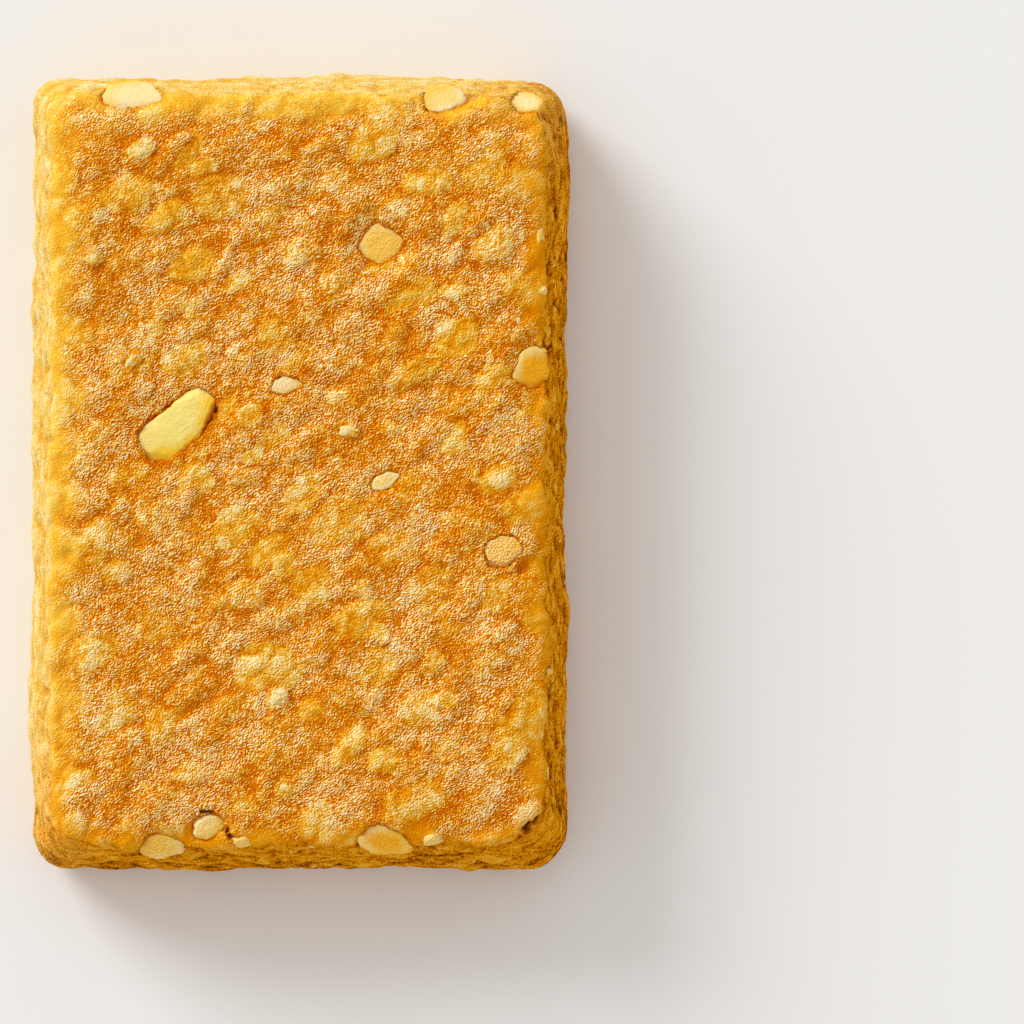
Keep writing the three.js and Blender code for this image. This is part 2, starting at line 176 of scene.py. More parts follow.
# The crisper bits: (x, y, length, width, thickness, turn, cream).
CRISP_BITS = (
    (-14.3, 9.3, 1.7, 0.9, 0.7, 62, 1.0), (4.3, 3.4, 1.6, 1.0, 0.8, 15, 0.8),
    (-1.9, -19.9, 1.7, 1.1, 0.8, 36, 0.9), (-1.3, -27.7, 1.6, 1.4, 0.9, 60, 0.8),
    (-17.8, 18.6, 2.0, 1.0, 0.8, 75, 0.7), (18.3, -23.9, 1.9, 1.0, 0.8, 55, 0.5),
    (21.3, -21.3, 1.5, 1.1, 0.8, 70, 0.2), (21.5, 15.2, 1.3, 1.2, 0.7, 30, 0.3),
    (21.3, 20.2, 1.9, 0.9, 0.7, 85, 0.2), (11.6, -33.0, 1.8, 1.2, 0.8, 15, 0.4),
    (-4.9, -33.2, 2.0, 1.3, 0.8, 0, 0.3), (-13.7, 27.6, 1.6, 1.3, 0.8, 15, 0.7),
)

# Fine bits strewn over the top and the walls: (where, count, lengths, grain, cream of the creamiest).
FINE_BITS = (("top", 24, (0.4, 0.9), LUMP_GRAIN, 1.0), ("wall", 26, (0.6, 1.5), 0, 0.3))

# Cracks: (start, end, width, depth).
CRACKS = (
    ((-6.2, -31.1, 11.8), (-5.5, -32.3, 11.6), 0.34, 0.7),
    ((-8.3, -29.7, 11.8), (-7.3, -29.8, 11.8), 0.26, 0.4),
    ((21.4, 32.2, 11.2), (22.3, 31.0, 11.0), 0.3, 0.6),
    ((22.1, -18.6, 9.6), (21.7, -21.7, 10.3), 0.5, 0.9),
    ((21.4, -15.9, 11.0), (21.6, -17.9, 10.8), 0.26, 0.5),
    ((21.0, -30.0, 11.4), (18.6, -32.8, 11.2), 0.36, 0.5),
    ((21.8, -8.6, 11.0), (22.0, -10.2, 10.8), 0.42, 0.6),
)


def mix(a, b, share):
    return a + (b - a) * share


def smoothstep(x, low, high):
    t = np.clip((x - low) / (high - low), 0.0, 1.0)
    return t * t * (3.0 - 2.0 * t)


def random_from(seed):
    """The same repeatable run of numbers from 0 to 1 that the solids use."""
    state = seed

    def draw():
        nonlocal state
        state = (state * 1664525 + 1013904223) & 0xFFFFFFFF
        return state / 2**32

    return draw


def noise_field(points, size, seed, octaves=1):
    """Smooth noise of about -1 to 1, in waves of size millimetres: one number, or one each for x, y and z."""
    places = (points / np.asarray(size, float) + np.array([13.7, 7.1, 3.3]) * seed).tolist()
    if octaves == 1:
        return np.array([noise.noise(place) for place in places]) * 1.4
    return np.array([noise.fractal(place, 1.0, 2.0, octaves) for place in places]) * 1.2


def warped(points, size, reach, seed):
    """The points, moved by noise by up to about reach millimetres."""
    shift = np.column_stack([noise_field(points, size, seed + k) for k in range(3)])
    return points + reach * shift


def unit(vectors, least=1e-9):
    """The vectors, one in each row, brought to length 1, apart from those shorter than least."""
    return vectors / np.maximum(np.linalg.norm(vectors, axis=1), least)[:, None]


# ---- The smooth form ----


def quadratic(start, control, end, count=200):
    t = np.linspace(0.0, 1.0, count)[:, None]
    start, control, end = (np.array(p, float) for p in (start, control, end))
    return (1 - t) ** 2 * start + 2 * t * (1 - t) * control + t**2 * end


def wall_section(steps):
    """The section from the shoulder to the foot, at even steps: rows of (inset, height)."""
    start, curves = SHOULDER, []
    for pull, end in WALL_CURVES:
        curves.append(quadratic(start, pull, end))
        start = end
    path = np.vstack(curves)
    run = np.concatenate([[0.0], np.cumsum(np.linalg.norm(np.diff(path, axis=0), axis=1))])
    even = np.linspace(0.0, run[-1], steps + 1)
    return np.column_stack([np.interp(even, run, path[:, 0]), np.interp(even, run, path[:, 1])])


def corner_radii(x, y, inset):
    radius = np.zeros_like(x)
    for (side_x, side_y), corner in CORNER_RADII.items():
        radius[(np.where(x < 0, -1, 1) == side_x) & (np.where(y < 0, -1, 1) == side_y)] = corner
    return radius + inset * CORNER_SOFTENING


def plan_points(u, v, inset):
    """Points of the plan, for u and v from -1 to 1 over the ring that lies inset inside the belly."""
    half_width, half_length = WIDTH / 2 - inset, LENGTH / 2 - inset
    radius = corner_radii(u, v, inset)
    x, y = np.abs(u) * half_width, np.abs(v) * half_length
    over_x, over_y = x - (half_width - radius), y - (half_length - radius)
    corner = (over_x > 0) & (over_y > 0)
    reach = np.where(corner, np.hypot(over_x, over_y), 1.0)
    pull = np.where(corner, np.maximum(over_x, over_y) / np.maximum(reach, 1e-9), 1.0)
    x = np.where(corner, half_width - radius + over_x * pull, x)
    y = np.where(corner, half_length - radius + over_y * pull, y)
    return np.sign(u) * x, np.sign(v) * y


def inset_at(x, y):
    """How far plan points lie inside the belly's outline, with the corners as they run at the rim."""
    radius = corner_radii(x, y, RIM[0]) + RIM[0]
    over_x = np.abs(x) - (WIDTH / 2 - radius)
    over_y = np.abs(y) - (LENGTH / 2 - radius)
    corner = (over_x > 0) & (over_y > 0)
    return radius - np.where(corner, np.hypot(over_x, over_y), np.maximum(over_x, over_y))


def grid_edge(index):
    """The edge of a grid of vertex numbers, once round, counter-clockwise as seen from above."""
    return np.concatenate([index[0, :-1], index[:-1, -1], index[-1, :0:-1], index[:0:-1, 0]])


def grid_quads(index):
    corners = (index[:-1, :-1], index[:-1, 1:], index[1:, 1:], index[1:, :-1])
    return np.column_stack([corner.ravel() for corner in corners]).tolist()


def smooth_bar():
    """Points and faces of the smooth bar: a grid over the top, rings down to the foot, a coarser base."""
    columns, rows = np.meshgrid(np.arange(TOP_COLUMNS + 1), np.arange(TOP_ROWS + 1))
    u, v = 2 * columns / TOP_COLUMNS - 1.0, 2 * rows / TOP_ROWS - 1.0
    x, y = plan_points(u.ravel(), v.ravel(), SHOULDER[0])
    points = [np.column_stack([x, y, np.full(x.size, HEIGHT)])]
    index = np.arange(x.size).reshape(u.shape)
    faces = grid_quads(index)
    ring, total = grid_edge(index), x.size
    edge_u, edge_v = u.ravel()[ring], v.ravel()[ring]
    for inset, height in wall_section(WALL_ROWS)[1:]:
        x, y = plan_points(edge_u, edge_v, inset)
        points.append(np.column_stack([x, y, np.full(x.size, height)]))
        lower = np.arange(total, total + x.size)
        faces += np.column_stack([ring, lower, np.roll(lower, -1), np.roll(ring, -1)]).tolist()
        ring, total = lower, total + x.size
    foot_inset = WALL_CURVES[-1][1][0]
    base_points, base_faces = smooth_base(u, v, foot_inset, ring, total)
    points.append(base_points)
    return np.vstack(points), faces + base_faces


def smooth_base(u, v, inset, ring, total):
    """The base: a coarse grid just inside the foot, and a band of triangles from the foot to it."""
    u, v = u[::BASE_SKIP, ::BASE_SKIP], v[::BASE_SKIP, ::BASE_SKIP]
    x, y = plan_points(u.ravel(), v.ravel(), inset + BASE_STEP)
    index = np.arange(total, total + x.size).reshape(u.shape)
    faces = [quad[::-1] for quad in grid_quads(index)]
    ring, coarse = ring.tolist(), grid_edge(index).tolist()
    middle = BASE_SKIP // 2
    for i, here in enumerate(coarse):
        following = coarse[(i + 1) % len(coarse)]
        outer = [ring[(i * BASE_SKIP + k) % len(ring)] for k in range(BASE_SKIP + 1)]
        for k in range(BASE_SKIP):
            faces.append((outer[k], here if k < middle else following, outer[k + 1]))
        faces.append((outer[middle], here, following))
    return np.column_stack([x, y, np.zeros(x.size)]), faces


def as_triangles(faces):
    triangles = [(face[0], face[k], face[k + 1]) for face in faces for k in range(1, len(face) - 1)]
    return np.array(triangles)


def gathered(triangles, values, shape):
    """The triangles' values, added up at their corners."""
    total = np.zeros(shape)
    for k in range(3):
        np.add.at(total, triangles[:, k], values)
    return total


def vertex_normals(points, triangles):
    a, b, c = (points[triangles[:, k]] for k in range(3))
    return unit(gathered(triangles, np.cross(b - a, c - a), points.shape), 1e-12)


def smoothed(values, triangles, rounds):
    """Values averaged with their neighbours over the mesh, so many times."""
    weight = gathered(triangles, 1.0, len(values))
    for _ in range(rounds):
        values = gathered(triangles, values[triangles].mean(1), len(values)) / weight
    return values


# ---- Relief ----


class Cells:
    """Points sorted into cubes, so that those near a place are found quickly."""

    def __init__(self, points, size):
        self.size = size
        self.low = points.min(0)
        cell = ((points - self.low) / size).astype(int)
        self.count = cell.max(0) + 1
        key = (cell[:, 0] * self.count[1] + cell[:, 1]) * self.count[2] + cell[:, 2]
        self.order = np.argsort(key, kind="stable")
        self.starts = np.searchsorted(key[self.order], np.arange(self.count.prod() + 1))

    def near(self, centre, reach):
        first = np.clip(((centre - reach - self.low) / self.size).astype(int), 0, self.count - 1)
        last = np.clip(((centre + reach - self.low) / self.size).astype(int), 0, self.count - 1)
        found = []
        for i in range(first[0], last[0] + 1):
            for j in range(first[1], last[1] + 1):
                row = (i * self.count[1] + j) * self.count[2]
                found.append(self.order[self.starts[row + first[2]]:self.starts[row + last[2] + 1]])
        return np.concatenate(found)


def make_waves(draw):
    waves = []
    for _ in range(WAVES["count"]):
        turn = draw() * 2 * math.pi
        climb = (draw() - 0.5) * math.pi
        beat = 2 * math.pi / mix(WAVES["shortest"], WAVES["longest"], draw())
        along = (math.cos(turn) * math.cos(climb), math.sin(turn) * math.cos(climb), math.sin(climb))
        waves.append((np.array(along) * beat, draw() * 2 * math.pi))
    return waves


def skin_axes(out, turn):
    """Unit vectors along and across the skin that faces out. turn is measured from the level direction."""
    level = np.cross((0.0, 0.0, 1.0), out)
    size = np.linalg.norm(level)
    level = level / size if size * size >= 0.5 else np.array([1.0, 0.0, 0.0])
    up = np.cross(out, level)
    long = level * math.cos(turn) + up * math.sin(turn)
    return long, np.cross(out, long)


def make_lump(draw, centre, out, grain, rise_share):
    """An ellipsoid patch of the skin that rises. out is the way that the skin faces there."""
    half_length = mix(*LUMP_LENGTH, draw())
    half_width = half_length * mix(*LUMP_SLIMNESS, draw())
    rise = mix(*LUMP_RISE, draw()) * rise_share
    turn = math.radians(grain + (draw() - 0.5) * LUMP_GRAIN_SPREAD)
    out = np.array(out, float)
    long, short = skin_axes(out, turn)
    return np.array(centre), out, long, short, half_length, half_width, rise


def steps_from(low, high, pitch):
    """low, low + pitch and so on up to high, added up one by one as the solids' loops do."""
    x = low
    while x <= high:
        yield x
        x += pitch


def make_lumps(draw):
    half_width, half_length = WIDTH / 2 - RIM[0], LENGTH / 2 - RIM[0]

    def nudge():
        return (draw() - 0.5) * LUMP_PITCH * LUMP_SCATTER

    lumps = []
    for y in steps_from(-half_length, half_length, LUMP_PITCH):
        for x in steps_from(-half_width, half_width, LUMP_PITCH):
            centre = (x + nudge(), y + nudge(), HEIGHT)
            lumps.append(make_lump(draw, centre, (0, 0, 1), LUMP_GRAIN, 1.0))
    for level in WALL_LUMP_LEVELS:
        for side in (-1, 1):
            for y in steps_from(-LENGTH / 2, LENGTH / 2, LUMP_PITCH):
                centre = (side * WIDTH / 2, y + nudge(), level + nudge() * LEVEL_SCATTER)
                lumps.append(make_lump(draw, centre, (side, 0, 0), 0, WALL_LUMP_RISE))
            for x in steps_from(-WIDTH / 2, WIDTH / 2, LUMP_PITCH):
                centre = (x + nudge(), side * LENGTH / 2, level + nudge() * LEVEL_SCATTER)
                lumps.append(make_lump(draw, centre, (0, side, 0), 0, WALL_LUMP_RISE))
    return lumps


def turned(offset, turn):
    """Level offsets along and across an axis that is turned by so many degrees."""
    cos, sin = math.cos(math.radians(turn)), math.sin(math.radians(turn))
    return offset[:, 0] * cos + offset[:, 1] * sin, offset[:, 1] * cos - offset[:, 0] * sin


def solid_relief(points):
    """The solids' relief at points of the smooth form, and how pale each point's lump is."""
    cells = Cells(points, CELL)
    draw = random_from(LUMP_SEED)
    relief = np.full(len(points), -MEAN_RELIEF)
    for along, phase in make_waves(draw):
        relief += WAVES["swing"] * np.sin(points @ along + phase)
    highest, paleness = np.zeros(len(points)), np.zeros(len(points))
    for number, (centre, out, long, short, half_length, half_width, rise) in enumerate(make_lumps(draw)):
        near = cells.near(centre, max(half_length, LUMP_DEPTH))
        offset = points[near] - centre
        away = (offset @ long / half_length) ** 2 + (offset @ short / half_width) ** 2
        away += (offset @ out / LUMP_DEPTH) ** 2
        lift = rise * (1 - away)
        wins = lift > highest[near]
        own_paleness = number * LUMP_TINT_STEP % 1.0
        paleness[near[wins]] = smoothstep(lift[wins] / rise, *LUMP_EDGE) * own_paleness
        highest[near[wins]] = lift[wins]
    for x, y, z, length, width, depth, turn in HOLLOWS:
        offset = points - np.array([x, y, z])
        along, across = turned(offset, turn)
        away = (2 * along / length) ** 2 + (2 * across / width) ** 2 + (offset[:, 2] / LUMP_DEPTH) ** 2
        highest -= depth * np.maximum(1 - away, 0.0) ** 2
    return relief + highest, paleness


def granule_relief(points, normals, layer):
    """A layer of granules pressed into the skin: how far each point rises, and how pale its granule is."""
    random = np.random.default_rng(layer["seed"])
    count = layer["count"]
    size = 2 * layer["length"][1]
    bent = warped(points, size, GRANULE_WARP * size, layer["seed"])
    cells = Cells(bent, size)
    seats = random.choice(np.flatnonzero(points[:, 2] > 0.2), count, replace=False)
    skew = random.random(count)
    half_lengths = mix(*layer["length"], skew**2)
    slimness = mix(*layer["slimness"], random.random(count))
    rises = mix(*layer["rise"], skew * random.random(count))
    turns = random.normal(0.0, 1.0, count)
    tilts = random.normal(0.0, 0.35, (count, 2))
    tints = random.random(count)
    highest, tint = np.zeros(len(points)), np.full(len(points), 0.35)
    for k, seat in enumerate(seats):
        out = normals[seat]
        on_top = out[2] > 0.7
        spread = GRANULE_SPREAD["top" if on_top else "wall"] * turns[k]
        long, short = skin_axes(out, math.radians(LUMP_GRAIN + spread if on_top else spread))
        longer, slimmer = (1.0, 1.0) if on_top else WALL_GRANULE
        half_length = half_lengths[k] * longer
        half_width = half_lengths[k] * slimness[k] * slimmer
        near = cells.near(bent[seat], half_length)
        offset = bent[near] - bent[seat]
        x, y, z = offset @ long / half_length, offset @ short / half_width, offset @ out / half_length
        away = x**2 + y**2 + z**2
        lift = rises[k] * (1 - away**2) * (1 + tilts[k][0] * x + tilts[k][1] * y)
        wins = (away < 1) & (lift > highest[near])
        highest[near[wins]] = lift[wins]
        tint[near[wins]] = tints[k]
    return highest, tint


def wall_fissures(points, wall):
    """Long level fissures in the pressed walls: how deep they are, and how much painted shade lies in them.
    """
    depth, painted_shade = np.zeros(len(points)), np.zeros(len(points))
    for layer in FISSURES:
        streak = noise_field(points, layer["size"], layer["seed"], 2)
        broken = smoothstep(noise_field(points, 2.4, layer["seed"] + 2), -0.1, 0.35)
        line = np.clip(1 - np.abs(streak) / layer["width"], 0, 1) * broken * wall
        depth += layer["depth"] * line
        painted_shade = np.maximum(painted_shade, line)
    return depth, painted_shade


def band(value, *ends):
    """1 between the middle two of four ends, going down to 0 at the outer two."""
    return smoothstep(value, *ends[:2]) * (1 - smoothstep(value, *ends[2:]))


def rim_lip(points):
    """How far the ragged rim reaches out over the wall less the cut under it, and how much painted shade lies
    in that cut.
    """
    ragged = smoothstep(noise_field(points, (1.9, 1.9, 9.0), 77, 4), -0.15, 0.35)
    split = smoothstep(noise_field(points, (3.6, 3.6, 12.0), 79, 2), -0.05, 0.2) * ragged
    over = RIM_LIP["reach"] * ragged * band(points[:, 2], *RIM_LIP["height"])
    cut = band(points[:, 2], *RIM_LIP["under"])
    return over - (RIM_LIP["cut"] * ragged + RIM_LIP["split"] * split) * cut, split * cut


def bound_relief(points, relief, tint):
    """Raises the bound bits out of the relief, level with their own middles, and makes them pale."""
    bent = warped(points, 1.3, 0.3, 41)
    for number, (x, y, length, width, turn) in enumerate(BOUND_BITS):
        near = np.flatnonzero((np.abs(bent[:, 0] - x) < length) & (np.abs(bent[:, 1] - y) < length))
        near = near[bent[near, 2] > TOP_ZONE]
        along, across = turned(bent[near, :2] - (x, y), turn)
        along, across = along / (0.5 * length), across / (0.5 * width)
        away = np.hypot(along, across)
        inside = 1 - smoothstep(away, 0.8, 1.05)
        level = relief[near][away < 0.6].mean() + 0.16 + 0.05 * along
        relief[near] = mix(relief[near], np.maximum(level, relief[near]), inside)
        tint[near] = mix(tint[near], BIT_PALENESS[number % len(BIT_PALENESS)], inside)
    return relief, tint


def painted_light_side(points):
    """1 on the far wall and the left one, which face the key light and are painted paler as painted light,
    going to 0 on the two others, which are painted darker as painted shade.
    """
    x, y = 2 * points[:, 0] / WIDTH, 2 * points[:, 1] / LENGTH
    nearer = np.maximum(-x, y) - np.maximum(x, -y)
    return smoothstep(nearer + 0.1 * noise_field(points, 2.0, 83, 2), -0.3, 0.5)


def build_paste():
    """The paste's points and faces, and the marks that its material reads, painted shade and painted light
    among them.
    """
    points, faces = smooth_bar()
    triangles = as_triangles(faces)
    normals = vertex_normals(points, triangles)
    wall = 1.0 - smoothstep(normals[:, 2] + 0.14 * noise_field(points, 1.0, 37, 3), 0.2, 0.9)
    relief, paleness = solid_relief(warped(points, 2.6, 0.5, 11))
    relief = relief * mix(TOP_CALM, WALL_CALM, wall)
    coarse, tint = granule_relief(points, normals, GRANULES[0])
    relief, paleness = bound_relief(points, relief, paleness)
    fine, fine_tint = granule_relief(points, normals, GRANULES[1])
    fissure, painted_shade = wall_fissures(points, wall)
    # Painted light on the sides that face the key light, painted shade on the others.
    lit_side = painted_light_side(points)
    # Painted shade in the fissures, weaker on the sides painted lit.
    painted_shade *= mix(*FISSURE_SHADE, lit_side)
    texture = coarse + fine - GRANULE_MEAN
    relief += texture - fissure
    fade = smoothstep(points[:, 2], 0.0, QUIET_FOOT)
    moved = points + normals * (relief * fade)[:, None]
    sideways = unit(normals[:, :2], 0.3)
    lip, split = rim_lip(points)
    moved[:, :2] += sideways * lip[:, None]
    # Painted shade under the lip's split, on the sides painted in shade.
    painted_shade = np.maximum(painted_shade, SPLIT_SHADE * split * (1 - lit_side))
    # Painted shade round the chips and in their grooves, and in the cracks.
    for chip in NUT_PIECES:
        moved, groove = bed_chip(moved, chip, texture)
        painted_shade = np.maximum(painted_shade, groove)
    for crack in CRACKS:
        moved, groove = cut_crack(moved, normals, crack)
        painted_shade = np.maximum(painted_shade, groove)
    # Painted shade in the hollows and painted light on the crests: the relief less its smoothed self.
    cavity_shade = relief - smoothed(relief, triangles, 10)
    inset = inset_at(points[:, 0], points[:, 1]) + 1.3 * noise_field(points, 3.0, 31, 3)
    # Margins reach further in on the sides painted lit.
    margin = 1.0 - smoothstep(inset, 1.4, mix(4.4, 5.5, lit_side))
    # skin: granule tint, painted shade of the hollows, margin, wall. marks: painted shade of cracks,
    # fissures, splits and chip rings; lumps' paleness; painted light of the sides facing the key light; 1.
    skin = np.column_stack([mix(fine_tint, tint, 0.7), np.clip(0.5 + cavity_shade, 0, 1), margin, wall])
    marks = np.column_stack([painted_shade, paleness, lit_side, np.ones(len(points))])
    return keep_inside(moved), faces, {"skin": skin, "marks": marks}


# ---- Nut chips ----

SPLIT_LEVEL = 0.62  # the height of a chip's split face, as a share of its half thickness
CHIP_BED = -0.02  # how far the paste stands above the split face at a chip's edge
GROOVES = {"cashew_piece": 0.06, "nut_shard_front": 0.04}
GROOVE_REACH = 1.6
# Where the paste about a chip changes, as shares of the chip's outline.
SINK = (0.81, 0.93)  # sunk under the chip within the first, no more beyond the second
COLLAR = (1.05, 1.9)  # level with the chip's edge within the first, left alone beyond the second
RING = (0.75, 0.88, 1.0, 1.15)  # painted shade
COLLAR_CLIMB = (0.4, 1.1)  # millimetres from the edge's level over which the collar fades
SINK_DEPTH = 0.2  # below the chip's middle, as a share of its thickness
# How strong the painted shade in the ring is.
RING_SHADE = 0.25
CHIP_SEEDS = {"split": 30, "cuts": 70, "skin": 90, "rim": 110}
BIT_SEEDS = {"crisp": 200, "fine": 400}
CHIP_CLEARANCE = 0.62  # fine bits keep this far from a chip's middle, as a share of its length
BIT_CUTS = 6
BIT_GRAIN = 0.3  # how much of the paste's grain the small bits have


def turn_matrix(axis, degrees):
    """Rotation about X, Y or Z, as rows that multiply column vectors."""
    cos, sin = math.cos(math.radians(degrees)), math.sin(math.radians(degrees))
    i, j = [(1, 2), (2, 0), (0, 1)]["XYZ".index(axis)]
    matrix = np.eye(3)
    matrix[i, i], matrix[i, j], matrix[j, i], matrix[j, j] = cos, -sin, sin, cos
    return matrix


def chip_frame(chip):
    """The chip's centre, from the solid's own box, and the matrix from its own axes to the bar's."""
    low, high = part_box(chip.name)
    leans_across = abs(chip.x) / WIDTH > abs(chip.y) / LENGTH
    tip = turn_matrix("Y", chip.lean) if leans_across else turn_matrix("X", -chip.lean)
    return np.array([chip.x, chip.y, (low.z + high.z) / 2 / MM]), tip @ turn_matrix("Z", chip.turn)


def outline_lobes(around):
    return np.cos(3 * around + 0.6) + 0.5 * np.cos(5 * around + 2)


def chip_points(directions, size, square, lobe, bend):
    """A chip's skin in the given directions from its middle: a rounded block with an uneven, bent outline."""
    x, y, z = directions.T
    plan = (np.abs(x) ** square + np.abs(y) ** square) ** (CHIP_BLUNTNESS / square)
    reach = (plan + np.abs(z) ** CHIP_BLUNTNESS) ** (-1 / CHIP_BLUNTNESS)
    uneven = 1 + lobe * outline_lobes(np.arctan2(y, x))
    along = x * reach * uneven * size[0] / 2
    across = y * reach * uneven * size[1] / 2 + bend * (along**2 - (size[0] / 4) ** 2)
    return np.column_stack([along, across, z * reach * size[2] / 2])


def ball(detail):
    """Directions and triangles of an evenly divided ball."""
    made = bmesh.new()
    bmesh.ops.create_icosphere(made, subdivisions=detail, radius=1.0)
    directions = np.array([vertex.co[:] for vertex in made.verts])
    triangles = np.array([[vertex.index for vertex in face.verts] for face in made.faces])
    made.free()
    return directions, triangles


BALLS = {detail: ball(detail) for detail in (3, 4, 5, 6)}


def chopped(points, size, seed, cuts, keep):
    """Flattens the skin against random planes, as a knife does. keep is how near the middle they pass."""
    random = np.random.default_rng(seed)
    half = np.asarray(size) / 2
    shape = points / half
    for _ in range(cuts):
        facing = random.normal(size=3) * (1.0, 1.0, 0.8)
        facing /= np.linalg.norm(facing)
        beyond = np.maximum(shape @ facing - mix(*keep, random.random()), 0.0)
        shape = shape - 0.85 * beyond[:, None] * facing
    return shape * half


def split_flat(points, size, seed):
    """Flattens a chip's upper side, as a nut splits, with a slight swell left in it."""
    random = np.random.default_rng(seed)
    half = size[2] / 2
    slope = random.normal(0, 0.06, 2)
    plane = half * SPLIT_LEVEL + points[:, 0] * slope[0] + points[:, 1] * slope[1]
    over = np.maximum(points[:, 2] - plane, 0)
    flat = points.copy()
    flat[:, 2] -= 0.8 * over
    return flat


def nut_skin(points, size, seed):
    """A ragged outline, low waves and a fine grain over a chip's skin."""
    outward = unit(points)
    wave = min(0.035 * min(size), 0.05) * noise_field(points, 0.9, seed, 3)
    grain = 0.016 * noise_field(points, 0.3, seed + 1)
    level = points * (1.0, 1.0, 0.25)
    sideways = unit(level) * (1.0, 1.0, 0.0)
    rim = smoothstep(np.hypot(2 * points[:, 0] / size[0], 2 * points[:, 1] / size[1]), 0.5, 0.9)
    ragged = min(0.07 * min(size), 0.12) * noise_field(level, 0.7, seed + 2, 3) * rim
    return points + outward * (wave + grain)[:, None] + sideways * ragged[:, None]


def chip_reach(local, chip):
    """How far out points lie, as a share of a chip's outline, and how much to its left side, from -1 to 1."""
    x = local[:, 0]
    y = local[:, 1] - chip.bend * (x**2 - (chip.length / 4) ** 2)
    uneven = 1 + chip.lobe * outline_lobes(np.arctan2(y / chip.width, x / chip.length))
    powers = (2 * np.abs(x) / chip.length) ** chip.square + (2 * np.abs(y) / chip.width) ** chip.square
    return powers ** (1 / chip.square) / uneven, y / np.maximum(np.hypot(x, y), 1e-9)


def bed_chip(moved, chip, texture):
    """Draws the paste up to a chip's edge and sinks it under the chip, and paints shade in a ring round it
    and in its groove.
    """
    centre, matrix = chip_frame(chip)
    near = np.flatnonzero(np.linalg.norm(moved - centre, axis=1) < chip.length)
    local = (moved[near] - centre) @ matrix
    away, side = chip_reach(local, chip)
    ragged = noise_field(moved[near], 0.6, 51, 2)
    groove = GROOVES.get(chip.name, 0.0) * smoothstep(side + 1.1 * ragged, 0.2, 0.7)
    edge = chip.thickness / 2 * SPLIT_LEVEL + CHIP_BED + 0.7 * texture[near] + 0.06 * ragged
    collar = (1 - smoothstep(away, *COLLAR)) * (1 - smoothstep(np.abs(local[:, 2] - edge), *COLLAR_CLIMB))
    height = mix(local[:, 2], edge, collar)
    inner, outer = (share + GROOVE_REACH * groove for share in SINK)
    sink = 1 - smoothstep(away + 0.13 * ragged, inner, outer)
    local[:, 2] = mix(height, np.minimum(height, -SINK_DEPTH * chip.thickness), sink)
    moved[near] = local @ matrix.T + centre
    painted_shade = np.zeros(len(moved))
    # Painted shade in a ring round the chip and in its groove.
    ring = band(away, *RING) * smoothstep(local[:, 2], -0.8, -0.2)
    in_groove = sink * smoothstep(away, 0.8, 0.94) * smoothstep(groove, 0.0, 0.06)
    painted_shade[near] = np.maximum(RING_SHADE * ring, in_groove)
    return moved, painted_shade


def cut_crack(moved, normals, crack):
    """Cuts a narrow ragged crack: from one plan point or wall point to another, so wide and so deep, with
    painted shade in it.
    """
    start, end, width, depth = crack
    start, end = np.array(start, float), np.array(end, float)
    along = end - start
    length = np.linalg.norm(along)
    near = np.flatnonzero(np.linalg.norm(moved - (start + end) / 2, axis=1) < length / 2 + 1.5)
    bent = warped(moved[near], 0.9, 0.35, 61)
    share = np.clip((bent - start) @ along / length**2, 0, 1)
    off = np.linalg.norm((bent - start - share[:, None] * along) * (1.0, 1.0, 0.35), axis=1)
    cut = np.clip(1 - off / (width * (0.35 + 1.3 * np.sqrt(share * (1 - share)))), 0, 1)
    moved[near] -= normals[near] * (depth * smoothstep(cut, 0.0, 0.7))[:, None]
    painted_shade = np.zeros(len(moved))
    painted_shade[near] = smoothstep(cut, 0.0, 0.6)
    return moved, painted_shade


def chip_colours(chip, number, points, offset, normals):
    """A chip's tones: its middle's colour, the colours of its rims towards the key light and away from it,
    painted light and painted shade, amber down its steep sides as painted shade, and its grain.
    """
    middle, lit_rim, shaded_rim, coarse = (np.array(value) for value in NUT_TONES[chip.name])
    away = np.hypot(2 * points[:, 0] / chip.length, 2 * points[:, 1] / chip.width)
    uneven = 0.15 * noise_field(points, 0.9, CHIP_SEEDS["rim"] + number, 2)
    edge = smoothstep(away + uneven, 0.35, 0.85)[:, None]
    # Rims towards the key light and away from it: painted light and painted shade.
    toward_key = smoothstep((offset[:, 1] - offset[:, 0]) / chip.width, -0.2, 0.3)[:, None]
    # Painted shade: the steep sides go over to amber.
    steep = 1 - smoothstep(normals[:, 2], 0.35, 0.8)
    colour = mix(middle, mix(shaded_rim, lit_rim, toward_key), edge)
    colour = mix(colour, np.array(NUT_AMBER), steep[:, None])
    return np.column_stack([colour, np.full(len(colour), float(coarse))])


def build_chips():
    """The larger nut pieces, finely shaped, each in place of its node's solid."""
    for number, chip in enumerate(NUT_PIECES):
        directions, triangles = BALLS[6 if chip.name == "cashew_piece" else 5]
        size = (chip.length, chip.width, chip.thickness)
        points = chip_points(directions, size, chip.square, chip.lobe, chip.bend)
        points = split_flat(points, size, CHIP_SEEDS["split"] + number)
        points = chopped(points, size, CHIP_SEEDS["cuts"] + number, 4, (0.86, 1.0))
        points = nut_skin(points, size, CHIP_SEEDS["skin"] + number)
        centre, matrix = chip_frame(chip)
        placed = points @ matrix.T + centre
        tone = chip_colours(chip, number, points, placed - centre, vertex_normals(placed, triangles))
        obj = make_object(chip.name + "_fine", placed, triangles.tolist(), {"tone": tone}, nut_material)
        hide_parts(chip.name)


def keep_inside(points):
    low, high = (np.array(corner) / MM for corner in cad_box)
    return np.clip(points, low, high)


